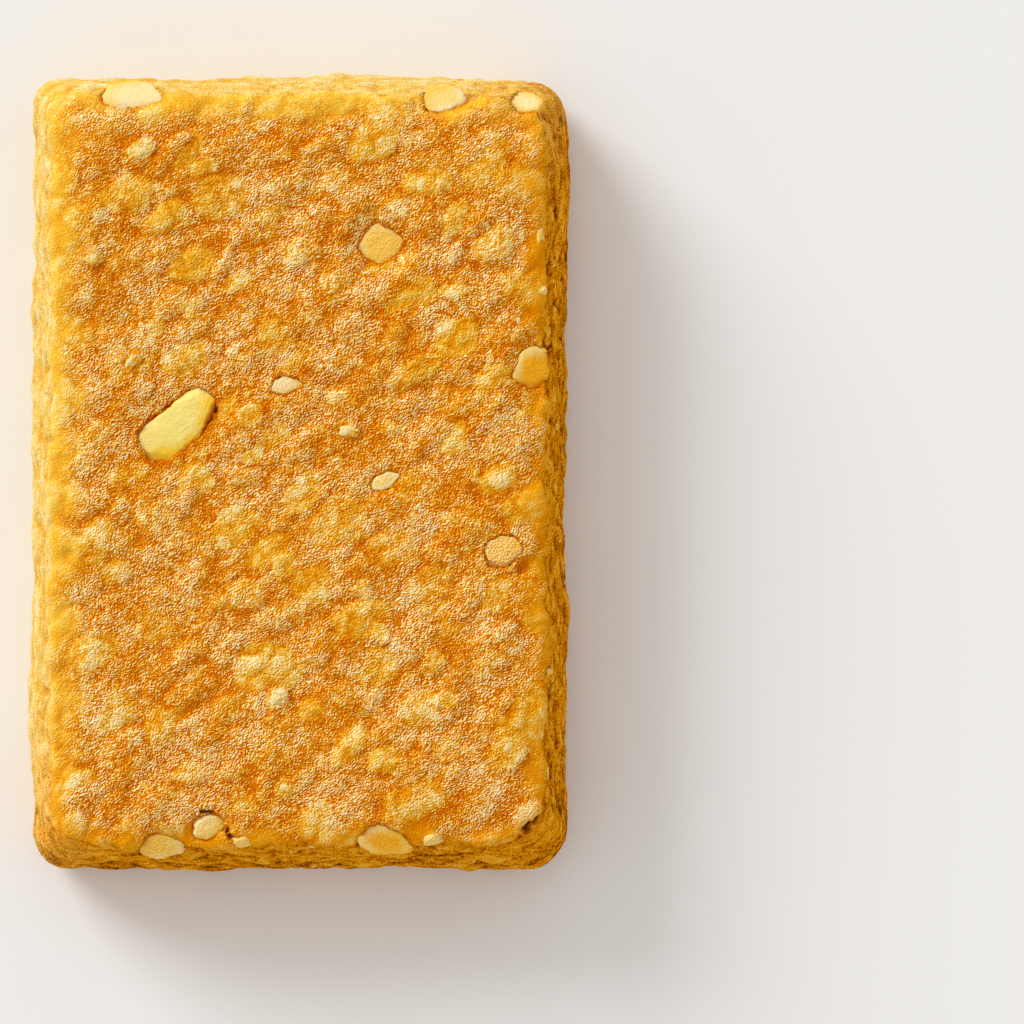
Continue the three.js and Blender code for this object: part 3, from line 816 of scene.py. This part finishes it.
class Bits:
    """Small nut bits, gathered into one mesh."""

    def __init__(self, skin_points, skin_normals):
        self.points, self.triangles, self.tints, self.count = [], [], [], 0
        self.skin_points, self.skin_normals = skin_points, skin_normals
        self.tree = kdtree.KDTree(len(skin_points))
        for k, point in enumerate(skin_points):
            self.tree.insert(point, k)
        self.tree.balance()

    def add(self, place, size, turn, proud, cream, seed, detail):
        """Beds a bit in the skin nearest to place, standing proud of it by so much."""
        seat = self.tree.find(place)[1]
        out = self.skin_normals[seat]
        long, short = skin_axes(out, math.radians(turn))
        directions, triangles = BALLS[detail]
        points = chip_points(directions, size, 2.2, 0.08, 0.0)
        points = chopped(points, size, seed, BIT_CUTS, (0.55, 0.9))
        points = nut_skin(points, size, seed)
        centre = self.skin_points[seat] + out * (proud - size[2] / 2)
        placed = centre + points @ np.array([long, short, out])
        self.triangles.append(triangles + self.count)
        self.points.append(placed)
        colour = mix(np.array(NUT_GOLD), np.array(NUT_CREAM), cream)
        self.tints.append(np.tile((*colour, BIT_GRAIN), (len(placed), 1)))
        self.count += len(placed)

    def make(self):
        points, triangles = np.vstack(self.points), np.vstack(self.triangles)
        tones = {"tone": np.vstack(self.tints)}
        return make_object("nut_bits", points, triangles.tolist(), tones, nut_material)


def clear_of_chips(place):
    return all(
        math.hypot(place[0] - chip.x, place[1] - chip.y) > CHIP_CLEARANCE * chip.length
        for chip in NUT_PIECES
    )


def build_bits(skin_points, faces):
    """The crisper bits at their places, and the fine ones strewn over the top and the walls."""
    triangles = as_triangles(faces)
    normals = vertex_normals(skin_points, triangles)
    soft = unit(np.column_stack([smoothed(normals[:, k], triangles, 4) for k in range(3)]))
    bits = Bits(skin_points, soft)
    random = np.random.default_rng(17)
    for number, (x, y, length, width, thickness, turn, cream) in enumerate(CRISP_BITS):
        size = (length, width, thickness)
        bits.add((x, y, HEIGHT), size, turn, CRISP_PROUD, cream, BIT_SEEDS["crisp"] + number, 4)
    regions = {
        "top": np.flatnonzero((normals[:, 2] > 0.6) & (skin_points[:, 2] > TOP_ZONE)),
        "wall": np.flatnonzero((np.abs(soft[:, 2]) < 0.5) & (skin_points[:, 2] > 1.5)),
    }
    for where, count, lengths, grain, share in FINE_BITS:
        for seat in random.choice(regions[where], count, replace=False):
            length = mix(*lengths, random.random() ** 2)
            width = length * mix(0.5, 0.95, random.random())
            size = (length, width, width * mix(0.4, 0.7, random.random()))
            turn = grain + random.normal() * 35
            proud = size[2] * mix(0.05, 0.2, random.random())
            cream, seed = random.random() * share, BIT_SEEDS["fine"] + int(random.integers(10000))
            if clear_of_chips(skin_points[seat]):
                bits.add(skin_points[seat], size, turn, proud, cream, seed, 3)
    return bits.make()


def put_in_scene(name, data):
    obj = bpy.data.objects.new(name, data)
    bpy.context.scene.collection.objects.link(obj)
    return obj


def make_object(name, points, faces, attributes, material):
    """A smooth-shaded piece from millimetre points, kept inside the solids' box and riding on the bar."""
    mesh = bpy.data.meshes.new(name)
    mesh.from_pydata((keep_inside(points) * MM).tolist(), [], faces)
    mesh.update()
    mesh.polygons.foreach_set("use_smooth", [True] * len(mesh.polygons))
    for attribute, values in attributes.items():
        layer = mesh.color_attributes.new(attribute, "FLOAT_COLOR", "POINT")
        layer.data.foreach_set("color", values.astype(np.float32).ravel())
    mesh.materials.append(material)
    obj = put_in_scene(name, mesh)
    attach(obj, "root")
    return obj


# ---- Shader helpers ----


def fill(tree, node, inputs):
    """Fills a node's inputs. Each is a value, or a socket to link from."""
    for name, value in inputs.items():
        if isinstance(value, bpy.types.NodeSocket):
            tree.links.new(value, node.inputs[name])
        else:
            node.inputs[name].default_value = value


def add(tree, kind, inputs=None, **settings):
    node = tree.nodes.new("ShaderNode" + kind)
    for name, value in settings.items():
        setattr(node, name, value)
    fill(tree, node, inputs or {})
    return node


def new_material(name):
    material = bpy.data.materials.new(name)
    material.use_nodes = True
    return material, material.node_tree, material.node_tree.nodes["Principled BSDF"]


def millimetres(tree):
    """Object coordinates in millimetres."""
    place = add(tree, "TexCoord").outputs["Object"]
    scaled = add(tree, "VectorMath", {0: place, "Scale": 1 / MM}, operation="SCALE")
    return scaled.outputs["Vector"]


def stretched(tree, place, scale, turn=0.0):
    """Coordinates that lengthen a pattern along its axes, which are turned about Z by so many degrees."""
    settings = {"Vector": place, "Scale": scale, "Rotation": (0, 0, math.radians(turn))}
    return add(tree, "Mapping", settings, vector_type="TEXTURE").outputs["Vector"]


def noise_at(tree, place, size, detail=2.0, roughness=0.5):
    settings = {"Vector": place, "Scale": 1 / size, "Detail": detail, "Roughness": roughness}
    return add(tree, "TexNoise", settings).outputs["Fac"]


def ramp(tree, value, low, high, to_low=0.0, to_high=1.0):
    """Maps low..high to to_low..to_high, held at both ends."""
    settings = {"Value": value, "From Min": low, "From Max": high, "To Min": to_low, "To Max": to_high}
    return add(tree, "MapRange", settings).outputs["Result"]


def maths(tree, a, b, operation="MULTIPLY"):
    return add(tree, "Math", {0: a, 1: b}, operation=operation).outputs["Value"]


def summed(tree, start, parts):
    """The start with all the parts added to it."""
    for part in parts:
        start = maths(tree, start, part, "ADD")
    return start


def blended(tree, share, a, b):
    """Colour a going over to colour b."""
    a, b = ((*colour, 1.0) if isinstance(colour, tuple) else colour for colour in (a, b))
    return add(tree, "Mix", {0: share, 6: a, 7: b}, data_type="RGBA").outputs[2]


def tone_ramp(tree, value, stops):
    """A colour ramp over the value, through stops of (place, colour)."""
    node = add(tree, "ValToRGB", {"Fac": value})
    elements = node.color_ramp.elements
    while len(elements) < len(stops):
        elements.new(1.0)
    for element, (position, colour) in zip(elements, stops):
        element.position = position
        element.color = (*colour, 1.0)
    return node.outputs["Color"]


def channels(tree, attribute):
    """The red, green, blue and alpha of a colour attribute."""
    node = add(tree, "Attribute", attribute_name=attribute)
    split = add(tree, "SeparateColor", {"Color": node.outputs["Color"]})
    return (*split.outputs, node.outputs["Alpha"])


def bumped(tree, height, distance, strength=1.0, normal=None):
    settings = {"Height": height, "Distance": distance, "Strength": strength}
    if normal is not None:
        settings["Normal"] = normal
    return add(tree, "Bump", settings).outputs["Normal"]


# ---- Materials ----

# The paste's colours, from its hollows, where the low tones are painted shade, to its sugary crests, whose
# pale tones are pale grains and painted highlight together, and their places on the ramp of tones.
DEEP = (0.58, 0.095, 0.001)
AMBER = (0.70, 0.20, 0.002)
GOLD = (0.78, 0.295, 0.003)
HONEY = (0.85, 0.405, 0.014)
PALE = (0.91, 0.54, 0.060)
CREAM = (0.96, 0.69, 0.18)
SUGAR = (1.0, 0.88, 0.56)
PASTE_TONES = (
    (0.05, DEEP), (0.29, AMBER), (0.44, GOLD), (0.58, HONEY), (0.71, PALE), (0.82, CREAM), (0.94, SUGAR),
)
GRAIN_SIZE = 0.12
GRAIN_STRETCH = (1.5, 1.0, 1.0)
GRAIN_LIGHT_SHIFT = (-0.06, 0.06, 0.0)  # millimetres from a speck to the point towards the key light, which paints light and shade on its flanks
# The margins' colours where painted in shade and where painted lit.
MARGIN_SHADED = (0.90, 0.35, 0.002)
MARGIN_LIT = (0.99, 0.58, 0.045)

# The walls' colours in the same way: those of the walls painted in shade, and those of the walls painted
# paler as lit.
# The darkest colour, a painted shade for cracks and for the shaded walls' crevices.
CRACK_SHADE_BROWN = (0.12, 0.032, 0.002)
BARK = (0.38, 0.10, 0.001)
CARAMEL = (0.64, 0.20, 0.001)
TOFFEE = (0.80, 0.29, 0.002)
STRAW = (0.93, 0.40, 0.006)
SHADED_TONES = (
    (0.08, CRACK_SHADE_BROWN), (0.22, BARK), (0.40, CARAMEL), (0.55, TOFFEE), (0.72, STRAW), (0.92, PALE),
)
BUTTER_DEEP = (0.70, 0.33, 0.025)
BUTTER = (0.77, 0.49, 0.10)
BUTTER_PALE = (0.80, 0.58, 0.18)
BUTTER_CREAM = (0.82, 0.70, 0.38)
LIT_TONES = ((0.12, BUTTER_DEEP), (0.45, BUTTER), (0.62, BUTTER_PALE), (0.90, BUTTER_CREAM))
MIDDLE_TONE = 0.5


def grain_and_painted_light_at(tree, place):
    """The finest grain: how high its specks stand, and its painted light and shade: how much each speck
    stands above the point just towards the key light.
    """
    lightward = add(tree, "VectorMath", {0: place, 1: GRAIN_LIGHT_SHIFT}, operation="ADD").outputs["Vector"]
    speck = noise_at(tree, stretched(tree, place, GRAIN_STRETCH, LUMP_GRAIN), GRAIN_SIZE, 0.0)
    lightward_speck = noise_at(tree, stretched(tree, lightward, GRAIN_STRETCH, LUMP_GRAIN), GRAIN_SIZE, 0.0)
    return speck, maths(tree, speck, lightward_speck, "SUBTRACT")


def paste_tone(tree, place, skin, marks):
    """Where the paste lies on its ramp of tones: grain, granules, lumps and hollows added up, with painted
    light and shade on the grain's flanks, painted shade in the hollows and cracks, and painted light on the
    margins that face the key light.
    """
    tint, cavity_shade, margin, _ = skin
    painted_shade, paleness, lit_side, _ = marks
    grained = stretched(tree, place, (2.0, 1.0, 1.0), LUMP_GRAIN)
    mottle = noise_at(tree, grained, 1.3, 2.0, 0.6)
    crease = maths(tree, maths(tree, mottle, 0.47, "SUBTRACT"), 0.0, "ABSOLUTE")
    patch = noise_at(tree, grained, 2.6, 1.0, 0.5)
    speck, grain = grain_and_painted_light_at(tree, place)
    clump = ramp(tree, noise_at(tree, place, 0.33, 0.0), 0.0, 1.0, -0.2, 0.2)
    grain = maths(tree, grain, clump, "ADD")
    smooth = maths(tree, ramp(tree, margin, 0.1, 0.9, 1.0, 0.4), ramp(tree, paleness, 0.5, 0.9, 1.0, 0.45))
    rough = maths(tree, ramp(tree, patch, 0.38, 0.60, 1.5, 2.1), smooth)
    parts = (
        # The grain's painted light and shade on its flanks, with random clumps.
        maths(tree, grain, rough),
        ramp(tree, patch, 0.38, 0.60, -0.05, 0.05),
        ramp(tree, mottle, 0.3, 0.7, -0.08, 0.08),
        ramp(tree, crease, 0.0, 0.02, -0.12, 0.0),
        ramp(tree, paleness, 0.5, 0.9, -0.03, 0.12),
        ramp(tree, tint, 0.2, 0.9, -0.08, 0.13),
        # Painted shade in the hollows and cracks, and a little painted light on the crests.
        ramp(tree, cavity_shade, 0.40, 0.56, -0.24, 0.08),
        ramp(tree, painted_shade, 0.0, 0.35, 0.0, -0.35),
        # Painted light: margins paler on the sides that face the key light.
        maths(tree, margin, ramp(tree, lit_side, 0.0, 1.0, -0.03, 0.14)),
    )
    return summed(tree, MIDDLE_TONE, parts), mottle, grain, speck


def wall_tone(tree, place, cavity_shade, marks, grain):
    """Where the wall lies on its ramp of tones, with the grain's painted light and shade, painted shade in
    hollows and cracks and towards the foot of the walls painted in shade, and the level layers that its bump
    follows.
    """
    painted_shade, _, lit_side, _ = marks
    fine = noise_at(tree, stretched(tree, place, (4.0, 4.0, 1.0)), 0.3, 2.0, 0.6)
    broad = noise_at(tree, stretched(tree, place, (2.8, 2.8, 1.0)), 0.9, 2.0, 0.65)
    height = add(tree, "SeparateXYZ", {"Vector": place}).outputs["Z"]
    # Painted shade: the walls painted in shade darken towards the foot.
    foot_shade = maths(tree, ramp(tree, height, 5.0, 10.0, -0.10, 0.05), ramp(tree, lit_side, 0.0, 1.0, 1.0, 0.0))
    parts = (
        ramp(tree, broad, 0.2, 0.8, -0.40, 0.40),
        ramp(tree, fine, 0.2, 0.8, -0.30, 0.30),
        # The grain's painted light and shade, and painted shade in hollows and cracks.
        maths(tree, grain, 0.8),
        ramp(tree, cavity_shade, 0.38, 0.56, -0.20, 0.10),
        ramp(tree, painted_shade, 0.0, 0.35, 0.0, -0.30),
        foot_shade,
    )
    return summed(tree, MIDDLE_TONE, parts), broad


def make_paste_material():
    """The paste: its top, gilded by the margins, its layered walls painted lit on the sides facing the key
    light and in shade on the others, and painted shade in its cracks.
    """
    material, tree, shader = new_material("nut_paste")
    skin, marks = channels(tree, "skin"), channels(tree, "marks")
    _, cavity_shade, margin, wall = skin
    painted_shade, _, lit_side, _ = marks
    place = millimetres(tree)
    tone, mottle, grain, speck = paste_tone(tree, place, skin, marks)
    colour = tone_ramp(tree, tone, PASTE_TONES)

    # Margins paler on the sides painted lit, deeper gold on those painted in shade.
    margins = blended(tree, lit_side, MARGIN_SHADED, MARGIN_LIT)
    gilding = maths(tree, maths(tree, margin, 0.6), ramp(tree, painted_shade, 0.0, 0.3, 1.0, 0.0))
    colour = blended(tree, gilding, colour, margins)

    layers, layered = wall_tone(tree, place, cavity_shade, marks, grain)
    # Walls: painted light on the sides facing the key light, painted shade on the others.
    side = blended(tree, lit_side, tone_ramp(tree, layers, SHADED_TONES), tone_ramp(tree, layers, LIT_TONES))
    colour = blended(tree, wall, colour, side)
    # Painted shade: cracks, fissures, splits and chip rings go over to dark brown.
    colour = blended(tree, ramp(tree, painted_shade, 0.3, 0.85), colour, CRACK_SHADE_BROWN)

    grained = bumped(tree, speck, 0.08 * MM)
    shine = ramp(tree, maths(tree, painted_shade, wall, "MAXIMUM"), 0.0, 0.5, 1.0, 0.0)
    fill(tree, shader, {
        "Base Color": colour,
        "Normal": bumped(tree, maths(tree, layered, wall), 0.3 * MM, 0.8, grained),
        "Roughness": ramp(tree, mottle, 0.3, 0.7, 0.42, 0.58),
        "Coat Weight": maths(tree, shine, ramp(tree, tone, 0.5, 0.9, 0.0, 0.15)),
        "Coat Normal": grained,
        "Coat Roughness": 0.22,
        "Specular IOR Level": 0.0,
        "Subsurface Weight": 0.15,
        "Subsurface Radius": (1.0, 0.35, 0.08),
        "Subsurface Scale": 1.2 * MM,
    })
    return material


NUT_EDGE = (0.98, 0.52, 0.010)
NUT_AMBER = (0.97, 0.43, 0.006)
NUT_GOLD = (0.98, 0.58, 0.075)
NUT_LEMON = (1.0, 0.62, 0.03)
NUT_YELLOW = (1.0, 0.80, 0.24)
NUT_BUTTER = (0.98, 0.68, 0.21)
NUT_CREAM = (1.0, 0.80, 0.40)

# The larger pieces: the colours of middle, rim towards the key light and rim away from it, painted light and
# painted shade, and how much of the paste's grain each has.
NUT_TONES = {
    "cashew_piece": (NUT_YELLOW, NUT_YELLOW, NUT_LEMON, 0.1),
    "nut_diamond": (NUT_GOLD, NUT_BUTTER, NUT_GOLD, 0.35),
    "nut_disc_right": (NUT_AMBER, NUT_BUTTER, NUT_AMBER, 0.1),
    "nut_lump_right": (NUT_GOLD, NUT_GOLD, NUT_EDGE, 1.0),
    "nut_flake_front": (NUT_AMBER, NUT_BUTTER, NUT_GOLD, 0.2),
    "nut_flake_front_left": (NUT_GOLD, NUT_GOLD, NUT_BUTTER, 0.4),
    "nut_flake_back_left": (NUT_CREAM, NUT_BUTTER, NUT_CREAM, 0.1),
    "nut_flake_back": (NUT_BUTTER, NUT_GOLD, NUT_CREAM, 0.3),
    "nut_flake_back_right": (NUT_CREAM, NUT_BUTTER, NUT_GOLD, 0.3),
    "nut_leaf": (NUT_BUTTER, NUT_CREAM, NUT_CREAM, 0.3),
    "nut_scrap": (NUT_CREAM, NUT_CREAM, NUT_GOLD, 0.5),
    "nut_shard_front": (NUT_BUTTER, NUT_CREAM, NUT_GOLD, 0.4),
}


def make_nut_material():
    """The colour comes from the piece, and so does the share of the paste's grain on it."""
    material, tree, shader = new_material("nut")
    node = add(tree, "Attribute", attribute_name="tone")
    colour, coarse = node.outputs["Color"], node.outputs["Alpha"]
    place = millimetres(tree)
    cloud = noise_at(tree, place, 1.6, 3.0, 0.5)
    speck, grain = grain_and_painted_light_at(tree, place)
    colour = blended(tree, ramp(tree, cloud, 0.5, 0.8, 0.0, 0.2), colour, NUT_EDGE)
    # The grain's painted light and shade: cream on flanks towards the key light, amber away from it.
    for strongest, tone in ((-0.2, AMBER), (0.2, NUT_CREAM)):
        share = maths(tree, ramp(tree, grain, 0.0, strongest, 0.0, 0.9), coarse)
        colour = blended(tree, share, colour, tone)
    fill(tree, shader, {
        "Base Color": colour,
        "Normal": bumped(tree, cloud, 0.1 * MM, 0.4, bumped(tree, speck, 0.04 * MM)),
        "Roughness": ramp(tree, cloud, 0.3, 0.7, 0.4, 0.55),
        "Specular IOR Level": 0.01,
        "Subsurface Weight": 0.25,
        "Subsurface Radius": (1.0, 0.6, 0.25),
        "Subsurface Scale": 1.0 * MM,
    })
    return material


paste_material = make_paste_material()
nut_material = make_nut_material()


def main():
    points, faces, masks = build_paste()
    body = make_object("bar_paste", points, faces, masks, paste_material)
    bits = build_bits(points, faces)
    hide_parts("bar")
    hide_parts("bar")
    build_chips()


main()

# ---- Camera, lights and floor ----
VIEW_CENTRE = Vector((18.55, -3.37, 3.5)) * MM
VIEW_DISTANCE = 0.9
VIEW_TILT = math.radians(2.8)
FRAME_WIDTH = 89.6 * MM
SENSOR_WIDTH = 36
KEY_LIGHT = {"towards": (-0.66, 0.66, 0.40), "energy": 2.2, "softness": 30}
SOFT_BOX = (-0.70, 0.70, 0.40)  # the way to the soft box, seen from the bar
ROOM_COLOUR = (1, 0.96, 0.9, 1)
ROOM_STRENGTH = (0.65, 0.9)  # away from the soft box, and at it
FLOOR_COLOUR = (0.9, 0.91, 0.92, 1)
FLOOR_HALF = 0.6
FLOOR_DROP = 0.02 * MM  # so that the floor and the bar's base don't share a plane


def make_camera():
    camera = put_in_scene("camera", bpy.data.cameras.new("camera"))
    camera.location = VIEW_CENTRE + VIEW_DISTANCE * Vector((0, -math.sin(VIEW_TILT), math.cos(VIEW_TILT)))
    camera.rotation_euler = (VIEW_TILT, 0, 0)
    camera.data.sensor_width = SENSOR_WIDTH
    camera.data.lens = SENSOR_WIDTH * VIEW_DISTANCE / FRAME_WIDTH
    bpy.context.scene.camera = camera


def make_key_light():
    """A broad sun. Its softness is the angle that it fills, in degrees."""
    sun = put_in_scene("key", bpy.data.lights.new("key", "SUN"))
    sun.rotation_euler = Vector(KEY_LIGHT["towards"]).to_track_quat("Z", "Y").to_euler()
    sun.data.energy = KEY_LIGHT["energy"]
    sun.data.angle = math.radians(KEY_LIGHT["softness"])


def make_floor():
    corners = [(x * FLOOR_HALF, y * FLOOR_HALF, -FLOOR_DROP) for x, y in ((-1, -1), (1, -1), (1, 1), (-1, 1))]
    mesh = bpy.data.meshes.new("floor")
    mesh.from_pydata(corners, [], [(0, 1, 2, 3)])
    material, tree, shader = new_material("floor")
    fill(tree, shader, {"Base Color": FLOOR_COLOUR, "Roughness": 0.8})
    mesh.materials.append(material)
    put_in_scene("floor", mesh)


def make_studio():
    """A dim room with one broad soft box behind the key light."""
    world = bpy.data.worlds.new("studio")
    world.use_nodes = True
    tree = world.node_tree
    facing = add(tree, "TexCoord").outputs["Generated"]
    box = tuple(Vector(SOFT_BOX).normalized())
    along = add(tree, "VectorMath", {0: facing, 1: box}, operation="DOT_PRODUCT").outputs["Value"]
    lobe = maths(tree, maths(tree, along, 0.0, "MAXIMUM"), 4.0, "POWER")
    background = tree.nodes["Background"]
    fill(tree, background, {"Color": ROOM_COLOUR, "Strength": ramp(tree, lobe, 0.0, 1.0, *ROOM_STRENGTH)})
    bpy.context.scene.world = world


make_camera()
make_key_light()
make_floor()
make_studio()
bpy.context.scene.view_settings.view_transform = "Standard"
